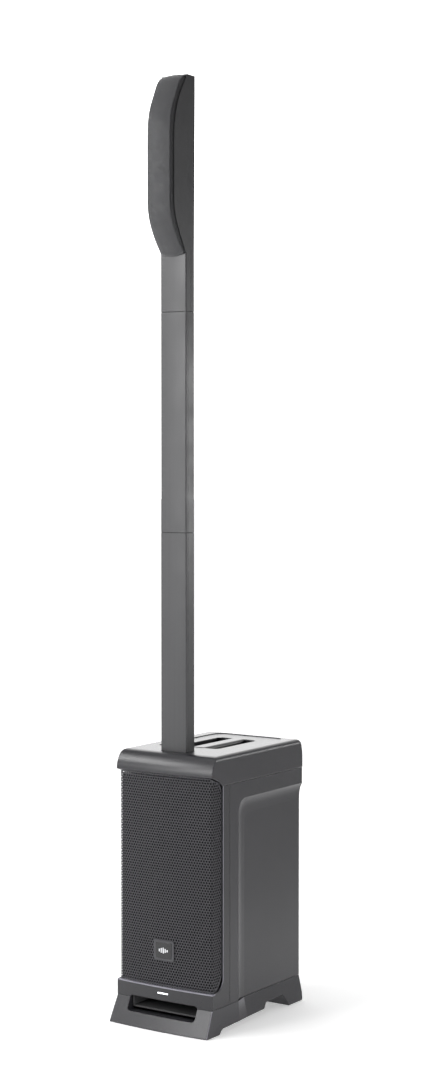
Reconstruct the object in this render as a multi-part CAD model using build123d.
"""A column PA system: a bass cabinet on a flared foot, two plug-in spacers and a curved line array.

Millimetres. +X is to the right seen from the front, -Y is the front, +Z is up.
The origin is on the floor, at the middle of the whole object's plan box.
"""

from build123d import *
import math
import os

# ------------------------------------------------------------------ driving dimensions
FACE_Y = -185.5  # woofer grille at its side edges; depths below are measured back from here
REAR_Y = 229.1  # back of the cabinet
CABINET_WIDTH = 291.6
FOOT_WIDTH = 299.0
BOW_RADIUS = 1600.0  # every front face is a slice of one large upright cylinder
WALL = 4.0

COVER_TOP = 691.0
COVER_SEAM = 617.6  # joint between the top cover and the walls
FOOT_SEAM = 65.0  # joint between the walls and the foot
SHELF_TOP = 105.4  # top of the front block under the grille
CHEEK_DEPTH = 41.0  # front edge of the side walls
FRAME_DEPTH = 69.5  # joint between the front frame and the side panels
NOSE_DEPTH = -8.9  # the cover's nose stands this far in front of the grille
FRONT_BLOCK_DEPTH = -6.8
FOOT_TOE_DEPTH = -37.0

COLUMN_WIDTH = 77.2
COLUMN_DEPTH = 36.8
COLUMN_BOW = 2.2  # how far the middle of the column's front stands forward of its edges
COLUMN_Y = FACE_Y + 53.0
COLUMN_WALL = 2.5
JOINT_HEIGHTS = (691.3, 1241.2, 1790.6)  # bottom ends of the two spacers and the array
SEAM_GAP = 1.0  # shadow gap between the cabinet's mouldings
JOINT_GAP = 1.2  # shadow gap between the column's pieces
PLUG_LENGTH = 45.0
PLUG_GAP = 0.35  # all round a plug in its socket
PLUG_WIDTH = 71.0
PLUG_DEPTH = 30.6

ARRAY_TOP = 2374.5
ARRAY_CHIN = 1932.0  # where the curved grille meets the plain lower face
ARRAY_GRILLE_HALF = 35.9
CHEEK_TOP = 2367.0  # upper end of the cheeks' front curve
ARRAY_DRIVERS = 8

WOOFER_Z = 392.0
WOOFER_HOLE_R = 93.0

PANEL_FLOOR_Y = 208.0  # face of the sunken control panel
PANEL_LOW, PANEL_HIGH = 302.0, 588.0
PANEL_HALF = 102.0

SHEET = 1.2  # thickness of the steel grilles


def depth(value):
    """Y of a plane this far behind the grille's side edges."""
    return FACE_Y + value


BOW_CENTRE_Y = depth(0) + math.sqrt(BOW_RADIUS**2 - (CABINET_WIDTH / 2) ** 2)
BOW_RISE = depth(0) - (BOW_CENTRE_Y - BOW_RADIUS)  # how far the middle stands forward


# ------------------------------------------------------------------ small helpers
def box(x0, x1, y0, y1, z0, z1):
    """A box from its low and high corners."""
    middle = ((x0 + x1) / 2, (y0 + y1) / 2, (z0 + z1) / 2)
    return Pos(*middle) * Box(x1 - x0, y1 - y0, z1 - z0)


def rod(radius, y0, y1, x, z):
    """A round bar along Y."""
    return Pos(x, (y0 + y1) / 2, z) * Rot(90, 0, 0) * Cylinder(radius, y1 - y0)


def tube(outer, inner, y0, y1, x, z):
    """A round tube along Y."""
    return rod(outer, y0, y1, x, z) - rod(inner, y0 - 1, y1 + 1, x, z)


def rounded_block(width, height, radius, y0, y1, x, z):
    """A block along Y with rounded upright corners seen from the front."""
    outline = Plane.XZ.offset(-y0) * Pos(x, z) * RectangleRounded(width, height, radius)
    return extrude(outline, amount=-(y1 - y0))


def upright_block(width, length, radius, x, y, z0, z1):
    """A block along Z with rounded corners in plan."""
    outline = Plane.XY.offset(z0) * Pos(x, y) * RectangleRounded(width, length, radius)
    return extrude(outline, amount=z1 - z0)


def side_face(lines):
    """A closed face in the YZ plane from edges drawn with x as depth and y as height."""
    return Plane.YZ * Pos(FACE_Y, 0) * make_face(Curve() + lines)


def along_x(face, half_width):
    """A side-view face carried across the width."""
    return extrude(face, amount=half_width, both=True)


def bowed(face, half_width, back_depth):
    """A side-view face turned about the far bow axis, then trimmed to the width and depth.

    The face gives the outline at the side edges, so it is moved forward by the bow's rise.
    """
    half_angle = math.degrees(math.asin(1.15 * half_width / BOW_RADIUS))
    axis = Axis((0, BOW_CENTRE_Y, 0), (0, 0, 1))
    start = (Pos(0, -BOW_RISE, 0) * face).rotate(axis, -half_angle)
    turned_face = revolve(start, axis=axis, revolution_arc=2 * half_angle)
    limit = box(-half_width, half_width, depth(-120), depth(back_depth), -10, 800)
    return turned_face & limit


def turned(points, z):
    """A ring turned about a front-to-back axis at this height; points are (radius, depth)."""
    outline = [(r, depth(d)) for r, d in points]
    return Pos(0, 0, z) * revolve(make_face(Polyline(*outline, close=True)), axis=Axis.Y)


def around(count, radius, z, phase=0.0):
    """Places on a circle about a front-to-back axis, as (x, z)."""
    for step in range(count):
        angle = math.radians(phase + 360 * step / count)
        yield radius * math.cos(angle), z + radius * math.sin(angle)


def as_group(solids):
    """Separate solids that share one node."""
    return Compound(children=[s for item in solids for s in item.solids()])


# ------------------------------------------------------------------ the cabinet's casing
def cover_outline(inset=0.0):
    """Side view of the top cover: rounded nose, hooked underside and a softly rounded back."""
    nose, crown = NOSE_DEPTH + inset, COVER_TOP - inset
    back, low = REAR_Y - FACE_Y - inset, COVER_SEAM + inset
    rim = inset * 0.7
    return side_face(
        [
            Spline((nose, 643 + rim), (-5.2 + inset, 662), (9 + rim, 683 - rim), (34, crown),
                   tangents=((0, 1), (1, 0))),
            Line((34, crown), (back - 18, crown)),
            Spline((back - 18, crown), (back - 6, 678), (back, 640), tangents=((1, 0), (0, -1))),
            Line((back, 640), (back, low)),
            Line((back, low), (36.5 + inset, low)),
            ThreePointArc((36.5 + inset, low), (29 + rim, 625.4 + rim), (17.5 + rim, 632 + inset)),
            Line((17.5 + rim, 632 + inset), (nose + 2, 641.4 + inset)),
            ThreePointArc(
                (nose + 2, 641.4 + inset), (nose + 0.4, 642 + 0.85 * inset), (nose, 643 + rim)
            ),
        ]
    )


def cover_block(inset=0.0):
    """The cover's solid outside, or its inside when given the wall's thickness."""
    face = cover_outline(inset)
    half = CABINET_WIDTH / 2 - inset
    edge_radius = 13 - inset
    front = bowed(face, half, 90)
    rear = along_x(face, half) & box(-half, half, depth(60), REAR_Y, 600, 700)
    top = COVER_TOP - inset
    arch = upright_arch(half, top, edge_radius)
    return (front + rear) & arch


def upright_arch(half, top, radius):
    """A front-to-back prism that rounds the long top edges."""
    outline = Pos(0, (560 + top) / 2) * Rectangle(2 * half, top - 560)
    outline = fillet(outline.vertices().group_by(Axis.Y)[-1], radius)
    return extrude(Plane.XZ * outline, amount=400, both=True)


HANDLE_Y = 51.0  # middle of the handle pocket
POCKET = (118.0, 190.0, 56.0)  # width, length and depth of the handle pocket
TRAY = (210.0, depth(101), depth(394), 2.0)  # width, front, back and depth of the shallow tray
HANDLE_BAR = (41.0, 24.0)  # width and height of the bar across the pocket
TAB = (30.0, 10.0, 3.0)  # the bar's end tabs: width, height, and how far they enter the wall


def handle_tabs():
    """The bar's end tabs, which fill matching slots in the pocket's end walls."""
    width, height, reach = TAB
    low = COVER_TOP - 1 - HANDLE_BAR[1]
    half = POCKET[1] / 2 + reach
    return box(-width / 2, width / 2, HANDLE_Y - half, HANDLE_Y + half, low, low + height)


def make_top_cover():
    """Moulded cover with the handle pocket, the shallow tray and the column's opening."""
    cover = cover_block() - cover_block(WALL)
    cover -= box(-141, 141, depth(41), REAR_Y - WALL, COVER_SEAM - 5, COVER_SEAM + 6)
    width, length, sunk = POCKET
    tray_width, tray_front, tray_back, tray_depth = TRAY
    tray_y = (tray_front + tray_back) / 2
    tray_length = tray_back - tray_front
    cover += upright_block(
        tray_width + 8, tray_length, 30, 0, tray_y, COVER_TOP - 8, COVER_TOP - WALL + 1
    )
    cover += upright_block(
        width + 2 * WALL, length + 2 * WALL, 20, 0, HANDLE_Y, COVER_TOP - sunk - 4, COVER_TOP - 4
    )
    cover -= upright_block(
        tray_width, tray_length, 28, 0, tray_y, COVER_TOP - tray_depth, COVER_TOP + 1
    )
    cover -= upright_block(width, length, 17, 0, HANDLE_Y, COVER_TOP - sunk, COVER_TOP + 1)
    cover -= handle_tabs()
    cover -= upright_block(
        COLUMN_WIDTH + 5, COLUMN_DEPTH + 5, 5, 0, COLUMN_Y, COVER_TOP - 12, COVER_TOP + 1
    )
    return cover


def make_handle_bar():
    """The grip: a bar along the pocket with rounded long edges and end tabs."""
    width, height = HANDLE_BAR
    length = POCKET[1] - 1.2
    top = COVER_TOP - 1
    bar = box(-width / 2, width / 2, HANDLE_Y - length / 2, HANDLE_Y + length / 2, top - height, top)
    bar = fillet(bar.edges().filter_by(Axis.Y), 7)
    return bar + handle_tabs()


def frame_outline():
    """Side view of the front frame: upright cheek and front block joined by a rounded corner."""
    front = FRONT_BLOCK_DEPTH
    back = FRAME_DEPTH + 30
    return side_face(
        [
            Line((front, FOOT_SEAM), (front, SHELF_TOP - 1.5)),
            ThreePointArc(
                (front, SHELF_TOP - 1.5), (front + 0.5, SHELF_TOP - 0.4), (front + 1.6, SHELF_TOP)
            ),
            Line((front + 1.6, SHELF_TOP), (12, 108)),
            ThreePointArc((12, 108), (32.2, 117.4), (CHEEK_DEPTH, 139)),
            Line((CHEEK_DEPTH, 139), (CHEEK_DEPTH, COVER_SEAM - SEAM_GAP)),
            Line((CHEEK_DEPTH, COVER_SEAM - SEAM_GAP), (back, COVER_SEAM - SEAM_GAP)),
            Line((back, COVER_SEAM - SEAM_GAP), (back, FOOT_SEAM)),
            Line((back, FOOT_SEAM), (front, FOOT_SEAM)),
        ]
    )


SLOT = (206.0, 34.0, 71.0, 8.0)  # port slot: width, low edge, high edge, corner radius
LIGHT = (32.0, 3.2, 89.5)  # status light: width, height and its middle's height


def slot_cut(inset=0.0):
    """The port slot through the front of the foot and the front block."""
    width, low, high, radius = SLOT
    middle = (low + high) / 2
    height = high - low - 2 * inset
    return rounded_block(width - 2 * inset, height, radius - inset, -260, depth(10), 0, middle)


def light_block(gap=0.0):
    """The status light's bar, or its slot when given a gap."""
    width, height, z = LIGHT
    front = depth(FRONT_BLOCK_DEPTH) - BOW_RISE
    return rounded_block(width + gap, height + gap, 1.5, front - 0.2 - gap, front + 9 + gap, 0, z)


def soften_sides(shape):
    """Rounds the long upright or raked front edges at both sides."""
    edges = [
        e for e in shape.edges()
        if abs(e.center().X) > 140 and e.center().Y < depth(CHEEK_DEPTH + 2)
        and abs(e.tangent_at(0.5).Z) > 0.8 and e.length > 50
    ]
    return fillet(edges, 1.8)


def make_front_frame():
    """Side cheeks and hollow front block, open for the grille, the baffle and the port."""
    half = CABINET_WIDTH / 2
    inside = half - WALL
    frame = soften_sides(bowed(frame_outline(), half, FRAME_DEPTH))
    frame -= box(-inside, inside, -260, depth(FRAME_DEPTH) + 1, SHELF_TOP, COVER_SEAM + 1)
    frame -= box(-inside, inside, depth(-2), depth(FRAME_DEPTH) + 1, FOOT_SEAM - 1, SHELF_TOP - WALL)
    for side in (-1, 1):
        x0, x1 = sorted((side * inside, side * (half + 1)))
        frame -= box(x0, x1, depth(4), depth(FRAME_DEPTH) + 1, FOOT_SEAM - 1, FOOT_SEAM + SEAM_GAP)
    frame -= slot_cut()
    return frame - light_block(0.3)


RECESS_FRONT = 109.5  # depth of the front edge of the sunken field


def recess_section(x, inset):
    """One side-view section of a side panel's sunken field, open at the back and below."""
    front, top = depth(RECESS_FRONT) + inset, 575 - inset
    back, low = REAR_Y + 40, FOOT_SEAM - 60
    radius = 35 - 0.35 * inset
    outline = Pos((front + back) / 2, (top + low) / 2) * Rectangle(back - front, top - low)
    corner = outline.vertices().sort_by_distance((front, top, 0))[0]
    return Plane.YZ.offset(x) * fillet(corner, radius)


RECESS_STEPS = ((-1.0, -1.0), (0.0, 0.0), (4.2, 6.5), (7.6, 16.0), (9.6, 29.0), (10.3, 42.0))


def make_side_panel(side):
    """A side wall with its sunken field; side is 1 on the right and -1 on the left."""
    half = CABINET_WIDTH / 2
    inner = half - 14
    low, high = FOOT_SEAM + SEAM_GAP, COVER_SEAM - SEAM_GAP
    panel = box(inner, half, depth(FRAME_DEPTH) + SEAM_GAP, REAR_Y, low, high)
    rear_edge = panel.edges().filter_by(Axis.Z).sort_by_distance((half, REAR_Y, 300))[0]
    panel = fillet(rear_edge, 3)
    sections = [recess_section(half - sunk, inset) for sunk, inset in RECESS_STEPS]
    panel -= loft(sections)
    return panel if side > 0 else mirror(panel, about=Plane.YZ)


BATTERY_WINDOW = (190.0, 92.0, 182.0)  # width, low edge, high edge
HEATSINK_WINDOW = (150.0, 196.0, 286.0)
REAR_PANEL_Y = (220.0, 224.0)
HINGE = (225.2, 91.0)  # y and z of the battery door's hinge line
KNUCKLE_R, HINGE_PIN_R = 2.3, 1.2
KNUCKLES_X = (-62.0, 62.0)
KNUCKLE_LENGTH = 14.0


def bar_along_x(radius, x0, x1, y, z):
    """A round bar along X."""
    return Pos((x0 + x1) / 2, y, z) * Rot(0, 90, 0) * Cylinder(radius, x1 - x0)


def hinge_ears():
    """The rear panel's ears and fixed pins, which carry the battery door's knuckles."""
    y, z = HINGE
    ears = []
    for middle in KNUCKLES_X:
        reach = KNUCKLE_LENGTH / 2 + 0.3
        pin = bar_along_x(HINGE_PIN_R, middle - reach - 5, middle + reach + 5, y, z)
        for side in (-1, 1):
            x0, x1 = sorted((middle + side * reach, middle + side * (reach + 5)))
            ear = bar_along_x(KNUCKLE_R, x0, x1, y, z)
            ears.append(ear + box(x0, x1, REAR_PANEL_Y[1] - 1, y, z - KNUCKLE_R, z))
        ears.append(pin)
    return ears


def make_rear_panel():
    """Flat back wall with windows for the controls, the heatsink and the battery door."""
    front, back = REAR_PANEL_Y
    half = CABINET_WIDTH / 2 - 14
    panel = box(-half, half, front, back, FOOT_SEAM + SEAM_GAP, COVER_SEAM - SEAM_GAP)
    panel -= box(
        -PANEL_HALF - 0.3, PANEL_HALF + 0.3, front - 1, back + 1, PANEL_LOW - 0.3, PANEL_HIGH + 0.3
    )
    for width, low, high in (BATTERY_WINDOW, HEATSINK_WINDOW):
        panel -= box(-width / 2, width / 2, front - 1, back + 1, low, high)
    for middle in KNUCKLES_X:
        reach = KNUCKLE_LENGTH / 2 + 0.3
        panel -= box(
            middle - reach, middle + reach, front - 1, back + 1, HINGE[1] - 3.5, BATTERY_WINDOW[1] + 1
        )
    for ear in hinge_ears():
        panel += ear
    return panel


def foot_outline():
    """Side view of the foot: raked toe, low arch and a higher notch before the rear foot."""
    toe, back = FOOT_TOE_DEPTH, REAR_Y - FACE_Y
    sole = 1.0
    points = [
        (FRONT_BLOCK_DEPTH, FOOT_SEAM),
        (toe, sole + 2),
        (toe + 1, sole),
        (20, sole),
        (27, 9),
        (36, 13),
        (229, 18),
        (242, 31.5),
        (322, 34),
        (332, 20),
        (343, sole),
        (back - 5.5, sole),
        (back - 1, 20),
        (back - 0.4, FOOT_SEAM),
    ]
    return side_face([Polyline(*points, close=True)])


def foot_flare():
    """Front-view trapezium of the foot, carried front to back."""
    top, low = CABINET_WIDTH / 2, FOOT_WIDTH / 2
    points = [(-low, 0), (low, 0), (top, FOOT_SEAM), (-top, FOOT_SEAM)]
    return extrude(Plane.XZ * make_face(Polyline(*points, close=True)), amount=400, both=True)


def foot_side_sweep(side):
    """The wedge that blends the side panel's sunken field out to the foot's edge."""
    half, sunk = CABINET_WIDTH / 2, RECESS_STEPS[-1][0]
    front, settled, far = depth(RECESS_FRONT), depth(150), REAR_Y + 20
    upper = [(half, front), (half - sunk, settled), (half - sunk, far), (190, far), (190, front)]
    lower_x = FOOT_WIDTH / 2 - 0.2
    lower = [(lower_x, front), (lower_x, settled), (lower_x, far), (190, far), (190, front)]
    faces = []
    for height, points in ((FOOT_SEAM + 0.5, upper), (6, lower)):
        placed = [(side * x, y) for x, y in points]
        faces.append(Plane.XY.offset(height) * make_face(Polyline(*placed, close=True)))
    return loft(faces, ruled=True)


def make_foot_base():
    """Flared foot moulding, hollow above its soles, with the port slot in its toe."""
    outline = foot_outline()
    half = FOOT_WIDTH / 2
    foot = bowed(outline, half, 100)
    foot += along_x(outline, half) & box(-half, half, depth(90), REAR_Y, -1, 70)
    foot = soften_sides(foot & foot_flare())
    for side in (-1, 1):
        foot -= foot_side_sweep(side)
    foot -= box(-129, 129, depth(-2), depth(226), 22, FOOT_SEAM + 1)
    foot -= box(-129, 129, depth(225), REAR_Y - 8, 39, FOOT_SEAM + 1)
    foot -= slot_cut()
    for pad in foot_pad_places():
        foot -= upright_block(*FOOT_PAD[:2], FOOT_PAD[2], *pad, 0, FOOT_PAD[3])
    return foot


FOOT_PAD = (40.0, 30.0, 8.0, 5.0)  # width, length, corner radius and thickness


def foot_pad_places():
    """Middles of the pads under the soles."""
    return [(x, y) for x in (-112, 112) for y in (depth(-8), depth(377))]


def make_rubber_feet():
    """Grip pads let into the soles."""
    width, length, radius, thick = FOOT_PAD
    return as_group(upright_block(width, length, radius, *pad, 0, thick) for pad in foot_pad_places())


# ------------------------------------------------------------------ the cabinet's front
def grille_plan(inset):
    """Plan of the grille's outside: bowed front, rounded corners and straight returns."""
    half = 141.6 - inset
    front = depth(inset)
    back = depth(60)
    lines = [
        Line((half, back), (half, front)),
        ThreePointArc((half, front), (0, front - BOW_RISE), (-half, front)),
        Line((-half, front), (-half, back)),
        Line((-half, back), (half, back)),
    ]
    face = make_face(Curve() + lines)
    corners = face.vertices().group_by(Axis.Y)[0]
    return fillet(corners, 6 - inset)


def grille_side_trim():
    """Side view that trims the grille to the opening between nose, cheek and front block."""
    back = CHEEK_DEPTH - 0.8
    points_low = [(-12, SHELF_TOP + 0.4), (-2, SHELF_TOP + 0.6), (11.5, 109.4)]
    return side_face(
        [
            Polyline(*points_low),
            ThreePointArc(points_low[-1], (31.2, 118.6), (back, 140.5)),
            Line((back, 140.5), (back, 608)),
            ThreePointArc((back, 608), (31, 622), (17, 631)),
            Line((17, 631), (-12, 643)),
            Line((-12, 643), points_low[0]),
        ]
    )


def make_woofer_grille():
    """Bowed steel sheet with side returns."""
    shell = extrude(Plane.XY.offset(90) * grille_plan(0), amount=570)
    shell -= extrude(Plane.XY.offset(80) * grille_plan(SHEET), amount=590)
    trim = bowed(grille_side_trim(), 150, CHEEK_DEPTH)
    return shell & trim


def make_grille_foam():
    """Thin acoustic foam just behind the perforated sheet."""
    sheet = side_face([Polyline((2, 112), (5, 112), (5, 628), (2, 628), close=True)])
    return bowed(sheet, 133, 40)


def make_badge_plate():
    """Blank two-step plate on the grille."""
    front = depth(0) - BOW_RISE
    plate = rounded_block(61, 50, 4, front - 2.2, front - 0.1, 0, 197)
    raised = rounded_block(47, 40, 3, front - 3.6, front - 1, 0, 197)
    return plate + raised


def make_status_light():
    """Light pipe in the front block."""
    return light_block()


def make_port_duct():
    """Flat duct from the slot to the air space above the bottom board."""
    duct = box(-101, 101, depth(-1.8), depth(190), 40, 76)
    duct -= box(-97, 97, depth(-3), depth(186), 44, 72)
    return duct - box(-95, 95, depth(148), depth(186), 70, 77)


def make_bottom_board():
    """Floor of the air space, with the duct's mouth cut through it."""
    board = box(-130.5, 130.5, depth(70), 214, 76.3, 86)
    return board - box(-95, 95, depth(148), depth(186), 70, 90)


def make_baffle_board():
    """Front board that carries the woofer."""
    board = box(-140.5, 140.5, depth(46), depth(61), SHELF_TOP + 3, 612)
    board -= rod(WOOFER_HOLE_R, depth(40), depth(70), 0, WOOFER_Z)
    for x, z in around(8, 99.5, WOOFER_Z, 22.5):
        board -= rod(2.4, depth(40), depth(70), x, z)
    return board


# ------------------------------------------------------------------ the woofer
def make_woofer_basket():
    """Pressed frame with a flange, windows and a seat for the magnet."""
    basket = turned(
        [(92.0, 42), (105, 42), (105, 45.8), (92.6, 45.8), (90, 64), (60, 111), (60, 116),
         (30, 116), (30, 113), (57.5, 113), (57.5, 110), (87, 63), (91.6, 46.5)],
        WOOFER_Z,
    )
    for x, z in around(6, 74, WOOFER_Z):
        basket -= rod(15, depth(50), depth(112), x, z)
    for x, z in around(8, 99.5, WOOFER_Z, 22.5):
        basket -= rod(2.6, depth(40), depth(48), x, z)
    return basket


def make_woofer_magnet():
    """Top plate, ferrite ring and back plate with its pole."""
    plate = turned([(21, 116.1), (50, 116.1), (50, 122), (21, 122)], WOOFER_Z)
    ring = turned([(31, 122.1), (60, 122.1), (60, 140), (31, 140)], WOOFER_Z)
    pole = [(0, 116.5), (18.4, 116.5), (18.4, 140.1), (54, 140.1), (54, 147), (0, 147)]
    return as_group([plate, ring, turned(pole, WOOFER_Z)])


def make_woofer_surround():
    """Half-roll rubber ring between the cone and the frame."""
    inner, outer, thick = 80.5, 91.2, 0.9
    middle = (inner + outer) / 2
    low, crest = 45.0, 39.2
    lines = [
        ThreePointArc((inner, depth(low)), (middle, depth(crest)), (outer, depth(low))),
        Line((outer, depth(low)), (outer - thick, depth(low))),
        ThreePointArc((outer - thick, depth(low)), (middle, depth(crest + thick)), (inner + thick, depth(low))),
        Line((inner + thick, depth(low)), (inner, depth(low))),
    ]
    return Pos(0, 0, WOOFER_Z) * revolve(make_face(Curve() + lines), axis=Axis.Y)


def make_woofer_spider():
    """Corrugated cloth ring that centres the voice coil."""
    waves = [(20.4 + 5 * step, 99.0 + (1.6 if step % 2 else 0.0)) for step in range(8)]
    back = [(r, d + 0.7) for r, d in reversed(waves)]
    return turned(waves + back, WOOFER_Z)


def make_woofer_screws():
    """Screws through the woofer's flange."""
    screws = []
    for x, z in around(8, 99.5, WOOFER_Z, 22.5):
        screws.append(rod(4.2, depth(40), depth(41.9), x, z) + rod(2.2, depth(41), depth(60), x, z))
    return as_group(screws)


def make_woofer_cone():
    """Shallow paper cone with a flat rim."""
    return turned([(76, 44.6), (80, 44.6), (80, 45.6), (76.6, 45.6), (20.3, 88), (20.3, 86.6)], WOOFER_Z)


def make_dust_cap():
    """Domed cap over the voice coil, a slice of a thin ball."""
    rim_r, crown, rim, thick = 26.5, 72.0, 80.2, 0.8
    rise = rim - crown
    ball_r = (rim_r**2 + rise**2) / (2 * rise)
    ball = Pos(0, depth(crown) + ball_r, WOOFER_Z) * (Sphere(ball_r) - Sphere(ball_r - thick))
    return ball & rod(rim_r, depth(crown - 2), depth(rim), 0, WOOFER_Z)


def make_voice_coil():
    """Former and winding in the magnet's gap."""
    return turned([(19.2, 88.2), (19.9, 88.2), (19.9, 127), (19.2, 127)], WOOFER_Z)


# ------------------------------------------------------------------ electronics inside
def board_with_parts(x0, x1, y0, z0, z1, parts):
    """A circuit board facing the back, with blocks standing on its inner side."""
    board = box(x0, x1, y0, y0 + 1.6, z0, z1)
    blocks = [box(x, x + w, y0 - tall, y0, z, z + h) for x, z, w, h, tall in parts]
    return as_group([board, *blocks])


def make_mixer_board():
    """Board behind the control panel with the pots that the knobs turn."""
    pots = []
    for x, z, _ in knob_places():
        pots.append(rounded_block(14, 14, 2, PANEL_FLOOR_Y - 20, PANEL_FLOOR_Y - 12, x, z))
    board = box(-96, 96, PANEL_FLOOR_Y - 24, PANEL_FLOOR_Y - 22.4, 440, 580)
    return as_group([board, *pots])


def make_amplifier_board():
    """Power amplifier board behind the heatsink."""
    parts = [(-60, 205, 30, 40, 28), (-20, 205, 24, 60, 18), (12, 210, 22, 22, 30), (44, 210, 22, 22, 30)]
    return board_with_parts(-78, 78, 205, 198, 284, parts)


def make_power_supply():
    """Boxed mains supply on the bottom board."""
    case = box(-70, 50, 20, 150, 86.5, 140)
    case = fillet(case.edges().filter_by(Axis.Z), 3)
    for step in range(9):
        case -= box(-60 + 12 * step, -54 + 12 * step, 30, 140, 138, 141)
    return case


def make_heatsink():
    """Finned aluminium plate in the rear window."""
    width, low, high = HEATSINK_WINDOW
    half = width / 2 - 0.4
    sink = box(-half, half, 207.5, 212, low + 0.4, high - 0.4)
    pitch = 7.4
    fins = int((2 * half - 4) / pitch)
    first = -pitch * fins / 2
    for step in range(fins + 1):
        x = first + pitch * step
        sink += box(x - 1.1, x + 1.1, 211, 223, low + 0.4, high - 0.4)
    return sink


def make_battery_pack():
    """Removable pack behind the battery door."""
    pack = box(-88, 88, 160, 216, 96, 178)
    pack = fillet(pack.edges().filter_by(Axis.X), 6)
    return pack - box(-30, 30, 212, 217, 130, 150)


# ------------------------------------------------------------------ rear controls
def knob_places():
    """Knob middles on the control panel as (x, z, radius)."""
    height = 548.0
    places = [(x, height, 10.0) for x in (-75.0, -45.0, -15.0, 15.0, 47.0)]
    return places + [(80.0, height, 13.0)]


KNOB_NAMES = [f"channel_{number}_knob" for number in (1, 2, 3, 4)] + ["effects_knob", "main_knob"]
KNOB_SHAFT_R = 3.0
RUNNING_GAP = 0.05
BUTTONS = {"phantom_button": (-75.0, 505.0), "pairing_button": (47.0, 505.0)}
BUTTON_R = 4.5
COMBO_PLACES = [(x, 455.0) for x in (-72.0, -30.0)] + [(x, 405.0) for x in (-72.0, -30.0)]
COMBO_WINDOW = ((-90.0, -12.0), (383.0, 477.0))  # the panel's window behind them: x and z ranges
LINE_PLACES = [(18.0, 505.0, 4.4), (18.0, 470.0, 4.4), (18.0, 435.0, 4.4), (70.0, 405.0, 10.5)]
USB_PLACE = (70.0, 470.0)
INLET_PLACE = (-52.0, 335.0)
ROCKER_PLACE = (52.0, 335.0)
ROCKER_SIZE = (20.0, 26.0)
ROCKER_TILT = 8.0
COMBO_BARREL_R, COMBO_BORE_R = 12.0, 8.5


def make_control_panel():
    """Sunken tray with a flange, bored for the knobs, buttons and jacks."""
    floor = PANEL_FLOOR_Y
    flange_front = REAR_PANEL_Y[1]
    middle = (PANEL_LOW + PANEL_HIGH) / 2
    height = PANEL_HIGH - PANEL_LOW
    panel = rounded_block(2 * PANEL_HALF, height, 8, floor - 3, flange_front + 0.5, 0, middle)
    panel += rounded_block(
        2 * PANEL_HALF + 12, height + 12, 12, flange_front, flange_front + 1.6, 0, middle
    )
    panel -= rounded_block(2 * PANEL_HALF - 6, height - 6, 6, floor, flange_front + 3, 0, middle)
    for x, z, _ in knob_places():
        panel -= rod(KNOB_SHAFT_R + RUNNING_GAP, floor - 5, floor + 1, x, z)
    for x, z in BUTTONS.values():
        panel -= rod(BUTTON_R + 0.4, floor - 5, floor + 1, x, z)
    panel -= box(*COMBO_WINDOW[0], floor - 5, floor + 1, *COMBO_WINDOW[1])
    for x, z, radius in LINE_PLACES:
        panel -= rod(radius, floor - 5, floor + 1, x, z)
    cut_outs = ((USB_PLACE, (14, 7)), (INLET_PLACE, (30, 22)), (ROCKER_PLACE, (22, 28)))
    for (x, z), (width, tall) in cut_outs:
        panel -= box(x - width / 2, x + width / 2, floor - 5, floor + 1, z - tall / 2, z + tall / 2)
    return panel


def make_knob(x, z, radius):
    """A knob with finger flutes, a pointer groove and its shaft."""
    floor = PANEL_FLOOR_Y
    knob = rod(radius, floor + 1, floor + 13, x, z)
    knob = chamfer(knob.edges().group_by(Axis.Y)[-1], 1.2)
    for fx, fz in around(9, radius + 1.2, z, 50):
        knob -= rod(2.2, floor + 3, floor + 14, x + fx, fz)
    knob -= box(x - 0.6, x + 0.6, floor + 12.2, floor + 14, z + 1, z + radius + 1)
    return knob + rod(KNOB_SHAFT_R, floor - 11.5, floor + 2, x, z)


def make_button(x, z):
    """A round push button that stands proud of the panel."""
    floor = PANEL_FLOOR_Y
    button = rod(BUTTON_R, floor - 8, floor + 4, x, z)
    return fillet(button.edges().group_by(Axis.Y)[-1], 0.8)


def make_power_rocker():
    """Two-lobed rocker at rest on its off side."""
    x, z = ROCKER_PLACE
    width, height = ROCKER_SIZE
    floor = PANEL_FLOOR_Y
    lobe = floor + 1.5
    points = [(floor - 6, -9), (floor - 6, 9), (lobe, 12), (floor + 0.2, 0), (lobe, -12)]
    face = Plane.YZ.offset(x - width / 2) * Pos(0, z) * make_face(Polyline(*points, close=True))
    rocker = extrude(face, amount=width)
    pivot = Axis((x, floor - 3, z), (1, 0, 0))
    return rocker.rotate(pivot, ROCKER_TILT)


def make_combo_jacks():
    """Input sockets with square flanges."""
    floor = PANEL_FLOOR_Y
    jacks = []
    for x, z in COMBO_PLACES:
        body = rounded_block(41.4, 49.4, 3, floor + 0.1, floor + 2.4, x, z)
        body += rod(COMBO_BARREL_R, floor - 22, floor + 1, x, z)
        jacks.append(body - rod(COMBO_BORE_R, floor - 18, floor + 3, x, z))
    return as_group(jacks)


def make_line_jacks():
    """Small round line sockets and the larger output socket."""
    floor = PANEL_FLOOR_Y
    return as_group(
        tube(radius - 0.1, 0.6 * radius, floor - 14, floor + 3, x, z) for x, z, radius in LINE_PLACES
    )


def make_usb_port():
    """Charging port shell."""
    x, z = USB_PLACE
    floor = PANEL_FLOOR_Y
    shell = box(x - 6.8, x + 6.8, floor - 14, floor + 0.8, z - 3.3, z + 3.3)
    return shell - box(x - 6.2, x + 6.2, floor - 12, floor + 2, z - 2.7, z + 2.7)


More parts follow.
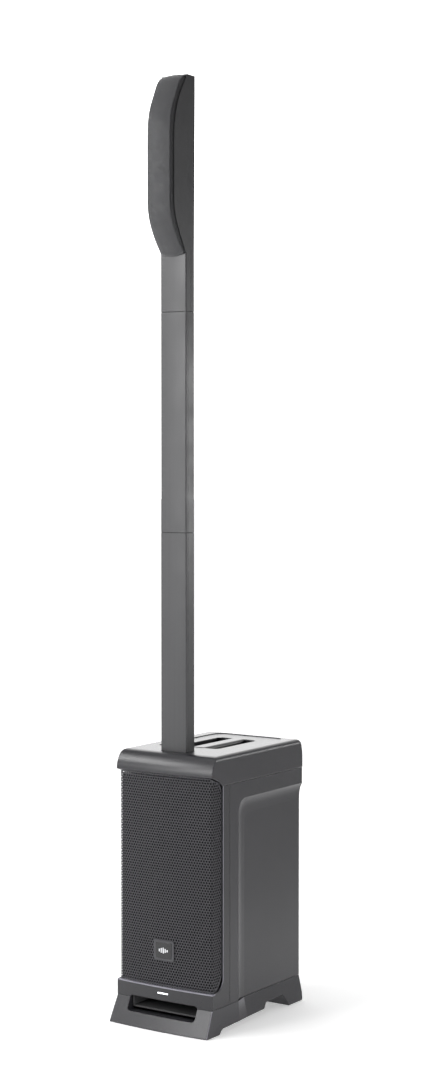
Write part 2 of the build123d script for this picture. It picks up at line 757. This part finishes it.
def make_mains_inlet():
    """Appliance inlet: flanged body with three pins at the bottom of its cavity."""
    x, z = INLET_PLACE
    floor = PANEL_FLOOR_Y
    body = rounded_block(48, 28, 3, floor + 0.1, floor + 2.6, x, z)
    body += box(x - 14.5, x + 14.5, floor - 22, floor + 1, z - 10.5, z + 10.5)
    body -= rounded_block(25, 17, 3, floor - 18, floor + 4, x, z)
    pins = [box(x + dx - 1, x + dx + 1, floor - 18, floor - 6, z + dz - 2, z + dz + 2)
            for dx, dz in ((-7, -1.5), (0, 2.5), (7, -1.5))]
    return as_group([body, *pins])


def make_rear_screws():
    """Screws of the rear panel and of the control panel's flange."""
    back = REAR_PANEL_Y[1]
    places = [(x, z, back + 0.1) for x in (-122, 122) for z in (80, 250, 440, 600)]
    places += [(x, z, back + 1.7) for x in (-105, 105) for z in (310, 445, 580)]
    screws = []
    for x, z, seat in places:
        head = rod(2.6, seat, seat + 1.6, x, z)
        screws.append(head - box(x - 2, x + 2, seat + 1, seat + 3, z - 0.4, z + 0.4))
    return as_group(screws)


def make_battery_door():
    """Door over the battery, with knuckles along its lower edge and a finger notch."""
    width, low, high = BATTERY_WINDOW
    y, z = HINGE
    door = box(-width / 2 + 0.6, width / 2 - 0.6, 220.6, 225.0, z + 2.8, high - 0.6)
    door -= rod(11, 223, 226, 0, high - 4)
    for step in range(5):
        groove = low + 18 + 11 * step
        door -= box(-70, 70, 224.2, 226, groove, groove + 2)
    for middle in KNUCKLES_X:
        x0, x1 = middle - KNUCKLE_LENGTH / 2, middle + KNUCKLE_LENGTH / 2
        door += box(x0, x1, y - 2.2, y - 0.5, z, z + 4)
        door += bar_along_x(KNUCKLE_R, x0, x1, y, z)
        door -= bar_along_x(HINGE_PIN_R + RUNNING_GAP, x0 - 1, x1 + 1, y, z)
    return door


# ------------------------------------------------------------------ the column
def column_section(inset=0.0):
    """Plan of the column: a bar with a slightly bowed front and softened corners."""
    half = COLUMN_WIDTH / 2 - inset
    front, back = COLUMN_Y - COLUMN_DEPTH / 2 + inset, COLUMN_Y + COLUMN_DEPTH / 2 - inset
    lines = [
        ThreePointArc((-half, front), (0, front - COLUMN_BOW), (half, front)),
        Polyline((half, front), (half, back), (-half, back), (-half, front)),
    ]
    outline = make_face(Curve() + lines)
    return fillet(outline.vertices(), max(2.2 - inset, 0.6))


def side_grooves(behind_front, z0, z1):
    """Fine grooves down both sides of the column, this far behind its front face."""
    y = COLUMN_Y - COLUMN_DEPTH / 2 + behind_front
    half = COLUMN_WIDTH / 2
    right = box(half - 0.5, half + 1, y - 0.5, y + 0.5, z0, z1)
    return right + mirror(right, about=Plane.YZ)


def make_spacer_tube(index):
    """One plain spacer: a hollow bar, open for the next piece's plug."""
    low, high = JOINT_HEIGHTS[index], JOINT_HEIGHTS[index + 1] - JOINT_GAP
    bar = extrude(Plane.XY.offset(low) * column_section(), amount=high - low)
    bar -= extrude(Plane.XY.offset(low - 1) * column_section(COLUMN_WALL), amount=high - low + 2)
    return bar - side_grooves(8.2, low - 1, high + 1)


def plug_block(low):
    """The plug under a column piece: its neck fills the tube and its foot enters the socket."""
    neck_width = COLUMN_WIDTH - 2 * COLUMN_WALL - 0.2
    neck_depth = COLUMN_DEPTH - 2 * COLUMN_WALL - 0.2
    neck = upright_block(neck_width, neck_depth, 0.8, 0, COLUMN_Y, low + 0.2, low + 28)
    foot = upright_block(PLUG_WIDTH, PLUG_DEPTH, 2.5, 0, COLUMN_Y, low - PLUG_LENGTH, low + 1)
    return foot + neck


def contact_places():
    """Middles of the contact pins across a plug."""
    return [(-18 + 12 * step, COLUMN_Y) for step in range(4)]


def make_plug(low):
    """A plug block bored for its contact pins."""
    plug = plug_block(low)
    for x, y in contact_places():
        plug -= Pos(x, y, low - PLUG_LENGTH + 4) * Cylinder(3, 10)
    return plug


def make_spacer_plug(index):
    """A spacer's plug below and its socket floor above."""
    low, high = JOINT_HEIGHTS[index], JOINT_HEIGHTS[index + 1] - JOINT_GAP
    plug = make_plug(low)
    top = high - PLUG_LENGTH - 6
    width = COLUMN_WIDTH - 2 * COLUMN_WALL - 0.2
    floor = upright_block(width, COLUMN_DEPTH - 2 * COLUMN_WALL - 0.2, 0.8, 0, COLUMN_Y, top - 8, top)
    return as_group([plug, floor])


def contact_set(low, pads_at=None):
    """Spring pins in a plug and, where a socket follows, the pads on its floor."""
    pins = []
    for x, y in contact_places():
        pins.append(Pos(x, y, low - PLUG_LENGTH + 4.5) * Cylinder(2.2, 8.6))
        if pads_at:
            pins.append(Pos(x, y, pads_at + 0.9) * Cylinder(3.4, 1.6))
    return as_group(pins)


def make_column_socket():
    """Lined well in the cabinet that holds the lowest plug."""
    rim = upright_block(COLUMN_WIDTH + 4.4, COLUMN_DEPTH + 4.4, 4.6, 0, COLUMN_Y, 634, COVER_TOP)
    well_width, well_depth = PLUG_WIDTH + 2 * PLUG_GAP, PLUG_DEPTH + 2 * PLUG_GAP
    return rim - upright_block(well_width, well_depth, 2.8, 0, COLUMN_Y, 638, COVER_TOP + 1)


def make_socket_contacts():
    """Contact pads on the well's floor."""
    return as_group(Pos(x, y, 639) * Cylinder(3.4, 1.8) for x, y in contact_places())


# ------------------------------------------------------------------ the line array
def array_front(inset=0.0):
    """Front curve of the array's grille, from its chin to its top, as depth and height."""
    face = -31.0 + inset
    chin, top = (32.0 + inset, ARRAY_CHIN - 7), (37.0, ARRAY_TOP - inset)
    return [
        Spline(chin, (4.5 + inset, 1960), (-16.5 + inset, 1996), (face, 2066),
               tangents=((-0.6, 0.8), (0, 1))),
        Line((face, 2066), (face, 2200)),
        Spline((face, 2200), (-20.5 + inset, 2289 - 0.3 * inset), (-0.5 + inset, 2333 - 0.6 * inset), top,
               tangents=((0, 1), (1, 0.3))),
    ]


def cheek_front(inset=0.0):
    """Front curve of the array's side cheeks, set back from the grille."""
    face = -15.3 + inset
    return [
        Spline((33.6 + inset, ARRAY_CHIN + 4), (18 + inset, 1966), (-3.4 + inset, 2008), (face, 2072),
               tangents=((-0.35, 1), (0, 1))),
        Line((face, 2072), (face, 2180)),
        Spline((face, 2180), (-10.4 + inset, 2261), (5.4 + inset, 2312), (38.5, CHEEK_TOP - inset),
               tangents=((0, 1), (0.7, 1))),
    ]


ARRAY_BACK = 70.4  # depth of the array's back at its foot
ARRAY_BACK_TOP = 75.0


def array_side(inset=0.0):
    """Side view of the shell above its plain foot."""
    chin = (33.6 + inset, ARRAY_CHIN + 4)
    back_low, back_high = (ARRAY_BACK - inset, 1836), (ARRAY_BACK_TOP - inset, 2325)
    top = ARRAY_TOP - 1 - inset
    lines = cheek_front(inset) + [
        Line((38.5, CHEEK_TOP - inset), (39.5, top)),
        Line((39.5, top), (ARRAY_BACK_TOP - inset, top - 0.5)),
        Line((ARRAY_BACK_TOP - inset, top - 0.5), back_high),
        Line(back_high, back_low),
        Polyline(back_low, (36 + inset, 1836), (36 + inset, ARRAY_CHIN + 4), chin),
    ]
    return side_face(lines)


def make_array_shell():
    """Back and cheeks of the array in one piece with its plain foot."""
    half = COLUMN_WIDTH / 2
    low, foot_top = JOINT_HEIGHTS[2], ARRAY_CHIN + 2
    shell = along_x(array_side(), half)
    rear_edges = [e for e in shell.edges() if abs(e.center().X) > half - 1 and e.length > 450]
    shell = fillet([e for e in rear_edges if e.center().Y > COLUMN_Y], 2.2)
    shell -= along_x(array_side(COLUMN_WALL), half - COLUMN_WALL)
    front_opening = side_face(
        cheek_front(COLUMN_WALL + 0.1)
        + [
            Line((38.5, CHEEK_TOP - COLUMN_WALL - 0.1), (38.5, 2400)),
            Line((38.5, 2400), (-60, 2400)),
            Line((-60, 2400), (-60, ARRAY_CHIN + 4)),
            Line((-60, ARRAY_CHIN + 4), (33.6 + COLUMN_WALL + 0.1, ARRAY_CHIN + 4)),
        ]
    )
    shell -= along_x(front_opening, half - COLUMN_WALL)
    foot = extrude(Plane.XY.offset(low) * column_section(), amount=foot_top - low)
    foot -= extrude(Plane.XY.offset(low - 1) * column_section(COLUMN_WALL), amount=foot_top + 2 - low)
    shell += foot
    shell -= box(-half + COLUMN_WALL, half - COLUMN_WALL, COLUMN_Y - 14, COLUMN_Y + 14, 1830, 1842)
    return shell - side_grooves(21.2, low - 1, 1952)


def driver_places():
    """Middles and tilts of the small drivers, as (depth, height, degrees from upright)."""
    places = []
    curve = Curve() + cheek_front(9)
    for step in range(ARRAY_DRIVERS):
        share = 0.09 + 0.82 * step / (ARRAY_DRIVERS - 1)
        point = curve.position_at(share)
        along = curve.tangent_at(share)
        places.append((point.X, point.Y, math.degrees(math.atan2(along.X, along.Y))))
    return places


def on_baffle(shape, place):
    """Puts a shape drawn about the origin, facing -Y, on the curved baffle."""
    y, z, tilt = place
    return Pos(0, depth(y), z) * Rot(-tilt, 0, 0) * shape


DRIVER_R = 23.0


def make_array_baffle():
    """Curved board between the cheeks that carries the small drivers."""
    inset = 9
    front, back = cheek_front(inset), cheek_front(inset + 3)
    face = side_face(
        front
        + back
        + [
            Line((38.5, CHEEK_TOP - inset), (38.5, CHEEK_TOP - inset - 3)),
            Line((33.6 + inset, ARRAY_CHIN + 4), (33.6 + inset + 3, ARRAY_CHIN + 4)),
        ]
    )
    board = along_x(face, ARRAY_GRILLE_HALF - SHEET - 0.3) & box(-40, 40, -260, 0, 1946, 2338)
    for place in driver_places():
        board -= on_baffle(Rot(90, 0, 0) * Cylinder(DRIVER_R - 2.5, 16), place)
    return board


def make_array_driver_frames():
    """Frames with their magnets, one for each small driver."""
    frames = []
    for place in driver_places():
        rim = Rot(90, 0, 0) * (Cylinder(DRIVER_R - 3, 9) - Cylinder(DRIVER_R - 5, 12))
        cup = Pos(0, 6, 0) * Rot(90, 0, 0) * Cylinder(DRIVER_R - 3, 3)
        magnet = Pos(0, 12, 0) * Rot(90, 0, 0) * Cylinder(14, 11)
        frames.append(on_baffle(rim + cup + magnet, place))
    return as_group(frames)


def make_array_driver_cones():
    """Small dished diaphragms."""
    cones = []
    outline = [(0, 1.2), (8, 0.2), (17.4, -3.0), (17.4, -2.2), (8, 1.0), (0, 2.0)]
    dish = revolve(make_face(Polyline(*outline, close=True)), axis=Axis.Y)
    for place in driver_places():
        cones.append(on_baffle(dish, place))
    return as_group(cones)


def array_bulge(inset=0.0, back=7.5):
    """The space in front of the cheeks that the grille wraps, with its rear this far behind them."""
    chin, rear_chin = (32.0 + inset, ARRAY_CHIN - 7), (27.0 + back, ARRAY_CHIN - 7)
    top, rear_top = (37.0, ARRAY_TOP - inset), (31.0 + back, 2355)
    rear = [
        Spline(rear_chin, (21 + back, 1966), (-3.4 + back, 2008), (-15.3 + back, 2072),
               tangents=((-0.35, 1), (0, 1))),
        Line((-15.3 + back, 2072), (-15.3 + back, 2180)),
        Spline((-15.3 + back, 2180), (-10.4 + back, 2261), (5.4 + back, 2312), rear_top,
               tangents=((0, 1), (0.7, 1))),
    ]
    return side_face(array_front(inset) + rear + [Line(chin, rear_chin), Line(top, rear_top)])


def chin_trim():
    """Front-view outline that gives the grille's lower end its rounded tongue."""
    half = ARRAY_GRILLE_HALF
    lines = [
        ThreePointArc((-half, ARRAY_CHIN + 1), (0, ARRAY_CHIN - 6), (half, ARRAY_CHIN + 1)),
        Polyline((half, ARRAY_CHIN + 1), (half, 2400), (-half, 2400), (-half, ARRAY_CHIN + 1)),
    ]
    return extrude(Plane.XZ * make_face(Curve() + lines), amount=400, both=True)


def bulge_block(inset, back):
    """The grille's outside, or its inside when given the sheet's thickness."""
    half = ARRAY_GRILLE_HALF - inset
    block = along_x(array_bulge(inset, back), half)
    edges = block.edges().filter_by(lambda e: abs(abs(e.center().X) - half) < 0.01)
    front = [e for e in edges if e.center().Y < depth(-14) and e.length > 100]
    return fillet(front, 4 - inset)


def make_array_grille():
    """Curved steel grille over the drivers."""
    grille = bulge_block(0.0, 7.5) - bulge_block(SHEET, 14)
    return grille & chin_trim()


def make_array_foam():
    """Foam liner behind the array's grille."""
    outer = along_x(array_bulge(SHEET + 0.6, 5.0), ARRAY_GRILLE_HALF - 3)
    inner = along_x(array_bulge(SHEET + 3.0, 14.0), ARRAY_GRILLE_HALF - 2)
    return (outer - inner) & box(-40, 40, -260, 0, 1946, 2335)


# ------------------------------------------------------------------ writing the nodes
def all_nodes():
    """Every node's name and shape."""
    nodes = {
        "top_cover": make_top_cover(),
        "handle_bar": make_handle_bar(),
        "front_frame": make_front_frame(),
        "left_side_panel": make_side_panel(-1),
        "right_side_panel": make_side_panel(1),
        "rear_panel": make_rear_panel(),
        "foot_base": make_foot_base(),
        "rubber_feet": make_rubber_feet(),
        "woofer_grille": make_woofer_grille(),
        "grille_foam": make_grille_foam(),
        "badge_plate": make_badge_plate(),
        "status_light": make_status_light(),
        "port_duct": make_port_duct(),
        "bottom_board": make_bottom_board(),
        "baffle_board": make_baffle_board(),
        "woofer_basket": make_woofer_basket(),
        "woofer_magnet": make_woofer_magnet(),
        "woofer_surround": make_woofer_surround(),
        "woofer_spider": make_woofer_spider(),
        "woofer_screws": make_woofer_screws(),
        "woofer_cone": make_woofer_cone(),
        "dust_cap": make_dust_cap(),
        "voice_coil": make_voice_coil(),
        "mixer_board": make_mixer_board(),
        "amplifier_board": make_amplifier_board(),
        "power_supply": make_power_supply(),
        "heatsink": make_heatsink(),
        "battery_pack": make_battery_pack(),
        "control_panel": make_control_panel(),
        "combo_jacks": make_combo_jacks(),
        "line_jacks": make_line_jacks(),
        "usb_port": make_usb_port(),
        "mains_inlet": make_mains_inlet(),
        "rear_screws": make_rear_screws(),
        "power_rocker": make_power_rocker(),
        "battery_door": make_battery_door(),
        "column_socket": make_column_socket(),
        "socket_contacts": make_socket_contacts(),
        "array_shell": make_array_shell(),
        "array_baffle": make_array_baffle(),
        "array_grille": make_array_grille(),
        "array_foam": make_array_foam(),
        "array_driver_frames": make_array_driver_frames(),
        "array_driver_cones": make_array_driver_cones(),
        "array_plug": make_plug(JOINT_HEIGHTS[2]),
        "array_contacts": contact_set(JOINT_HEIGHTS[2]),
    }
    for name, place in zip(KNOB_NAMES, knob_places()):
        nodes[name] = make_knob(*place)
    for name, place in BUTTONS.items():
        nodes[name] = make_button(*place)
    for index, name in enumerate(("lower_spacer", "upper_spacer")):
        nodes[name + "_tube"] = make_spacer_tube(index)
        nodes[name + "_plug"] = make_spacer_plug(index)
        pads_at = JOINT_HEIGHTS[index + 1] - JOINT_GAP - PLUG_LENGTH - 6
        nodes[name + "_contacts"] = contact_set(JOINT_HEIGHTS[index], pads_at)
    return nodes


if __name__ == "__main__":
    os.makedirs("parts", exist_ok=True)
    for node_name, shape in all_nodes().items():
        export_step(shape, f"parts/{node_name}.step")
